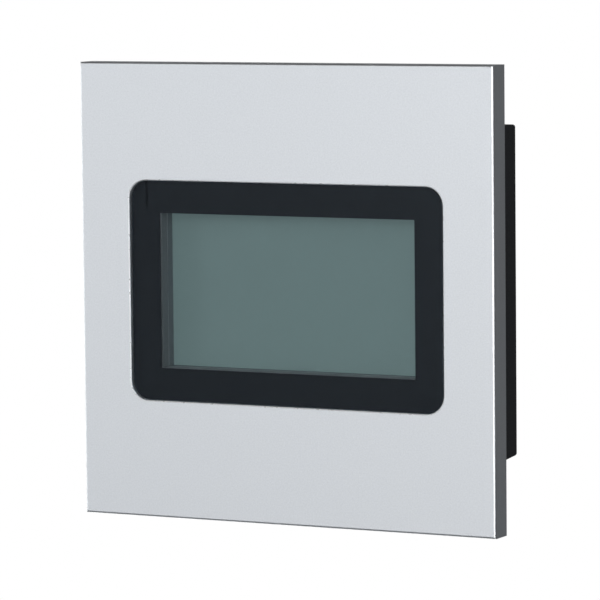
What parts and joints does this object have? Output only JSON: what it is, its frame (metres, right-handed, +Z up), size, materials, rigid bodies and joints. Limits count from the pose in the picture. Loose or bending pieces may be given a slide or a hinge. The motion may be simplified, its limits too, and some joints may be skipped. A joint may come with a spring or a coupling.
{
  "type": "hmi touch panel",
  "caption": "Square wall-mounted touch panel: thick aluminium front plate, recessed monochrome display behind a black-bordered lens, and a black rear housing.",
  "frame": {"origin": "centre of the front plate's back face, in the plane of the wall, at the middle of the wall fixing holes", "axes": "+Z up, +X to the right of someone facing the panel, +Y into the wall; the display faces -Y"},
  "size_m": [0.1, 0.0293, 0.1],
  "materials": {
    "plate": "fine blasted satin, clear anodised",
    "lens": "clear, polished",
    "ink": "opaque dark print",
    "adhesive": "soft, dull",
    "sensor": "clear",
    "flex": "amber film",
    "frame": "fine texture",
    "polarizer": "grey-green, anti-glare",
    "cell": "clear",
    "guide": "milky",
    "strip": "white solder mask",
    "sheet_steel": "rolled, passivated",
    "foam": "closed-cell foam",
    "brass": "turned",
    "screw_steel": "zinc plated",
    "board": "solder mask",
    "connector": "ivory, moulded",
    "chip": "moulded epoxy",
    "can": "drawn can",
    "battery": "nickel plated",
    "black_moulding": "moulded",
    "terminal": "moulded, green",
    "contact": "tin plated",
    "clamp_steel": "yellow zinc plated",
    "button": "moulded, off-white",
    "switch": "moulded, red",
    "housing": "fine spark-eroded texture",
    "seal": "soft rubber"
  },
  "bodies": {
    "panel": {"front_plate": "plate", "cover_lens": "lens", "lens_border": "ink", "lens_gasket": "adhesive", "touch_sensor": "sensor", "touch_flex": "flex", "display_frame": "frame", "lcd_carrier": "frame", "lcd_polarizer": "polarizer", "lcd_glass": "cell", "light_guide": "guide", "backlight_strip": "strip", "lcd_back_plate": "sheet_steel", "lcd_ribbon": "flex", "lcd_foam": "foam", "board_standoffs": "brass", "board_screws": "screw_steel", "main_board": "board", "touch_connector": "connector", "lcd_connector": "connector", "processor": "chip", "memory_chip": "chip", "power_inductor": "black_moulding", "supply_capacitors": "can", "coin_cell_holder": "black_moulding", "coin_cell": "battery", "buzzer": "black_moulding", "terminal_header": "terminal", "terminal_pins": "contact", "reset_switch": "black_moulding", "address_switch": "switch", "rear_housing": "housing", "housing_gasket": "seal", "housing_screws": "screw_steel"},
    "plug": {"terminal_plug": "terminal", "plug_contacts": "contact"},
    "reset_key": {"reset_button": "button"},
    "clamp_screw_1": {"terminal_screw_1": "screw_steel"},
    "wire_cage_1": {"wire_clamp_1": "clamp_steel"},
    "clamp_screw_2": {"terminal_screw_2": "screw_steel"},
    "wire_cage_2": {"wire_clamp_2": "clamp_steel"},
    "clamp_screw_3": {"terminal_screw_3": "screw_steel"},
    "wire_cage_3": {"wire_clamp_3": "clamp_steel"},
    "clamp_screw_4": {"terminal_screw_4": "screw_steel"},
    "wire_cage_4": {"wire_clamp_4": "clamp_steel"},
    "lever_1": {"address_lever_1": "button"},
    "lever_2": {"address_lever_2": "button"}
  },
  "joints": [
    {"name": "plug_pull", "type": "slide", "parent": "panel", "child": "plug", "axis": [0, 1, 0], "range_m": [0, 0.012]},
    {"name": "reset_press", "type": "slide", "parent": "panel", "child": "reset_key", "axis": [0, -1, 0], "range_m": [0, 0.0005], "stiffness_N_per_m": 400},
    {"name": "clamp_screw_1_turn", "type": "hinge", "parent": "plug", "child": "clamp_screw_1", "pos_m": [-0.00762, 0.02, -0.0235], "axis": [0, 0, -1], "range_deg": [0, 722]},
    {"name": "wire_cage_1_lift", "type": "slide", "parent": "plug", "child": "wire_cage_1", "axis": [0, 0, 1], "range_m": [0, 0.001]},
    {"name": "clamp_screw_2_turn", "type": "hinge", "parent": "plug", "child": "clamp_screw_2", "pos_m": [-0.00254, 0.02, -0.0235], "axis": [0, 0, -1], "range_deg": [0, 722]},
    {"name": "wire_cage_2_lift", "type": "slide", "parent": "plug", "child": "wire_cage_2", "axis": [0, 0, 1], "range_m": [0, 0.001]},
    {"name": "clamp_screw_3_turn", "type": "hinge", "parent": "plug", "child": "clamp_screw_3", "pos_m": [0.00254, 0.02, -0.0235], "axis": [0, 0, -1], "range_deg": [0, 722]},
    {"name": "wire_cage_3_lift", "type": "slide", "parent": "plug", "child": "wire_cage_3", "axis": [0, 0, 1], "range_m": [0, 0.001]},
    {"name": "clamp_screw_4_turn", "type": "hinge", "parent": "plug", "child": "clamp_screw_4", "pos_m": [0.00762, 0.02, -0.0235], "axis": [0, 0, -1], "range_deg": [0, 722]},
    {"name": "wire_cage_4_lift", "type": "slide", "parent": "plug", "child": "wire_cage_4", "axis": [0, 0, 1], "range_m": [0, 0.001]},
    {"name": "lever_1_slide", "type": "slide", "parent": "panel", "child": "lever_1", "axis": [0, 0, 1], "range_m": [0, 0.0018]},
    {"name": "lever_2_slide", "type": "slide", "parent": "panel", "child": "lever_2", "axis": [0, 0, 1], "range_m": [0, 0.0018]}
  ],
  "couplings": [
    {"joint": "clamp_screw_1_turn", "follows": "wire_cage_1_lift", "rad_per_m": 12566},
    {"joint": "clamp_screw_2_turn", "follows": "wire_cage_2_lift", "rad_per_m": 12566},
    {"joint": "clamp_screw_3_turn", "follows": "wire_cage_3_lift", "rad_per_m": 12566},
    {"joint": "clamp_screw_4_turn", "follows": "wire_cage_4_lift", "rad_per_m": 12566}
  ]
}
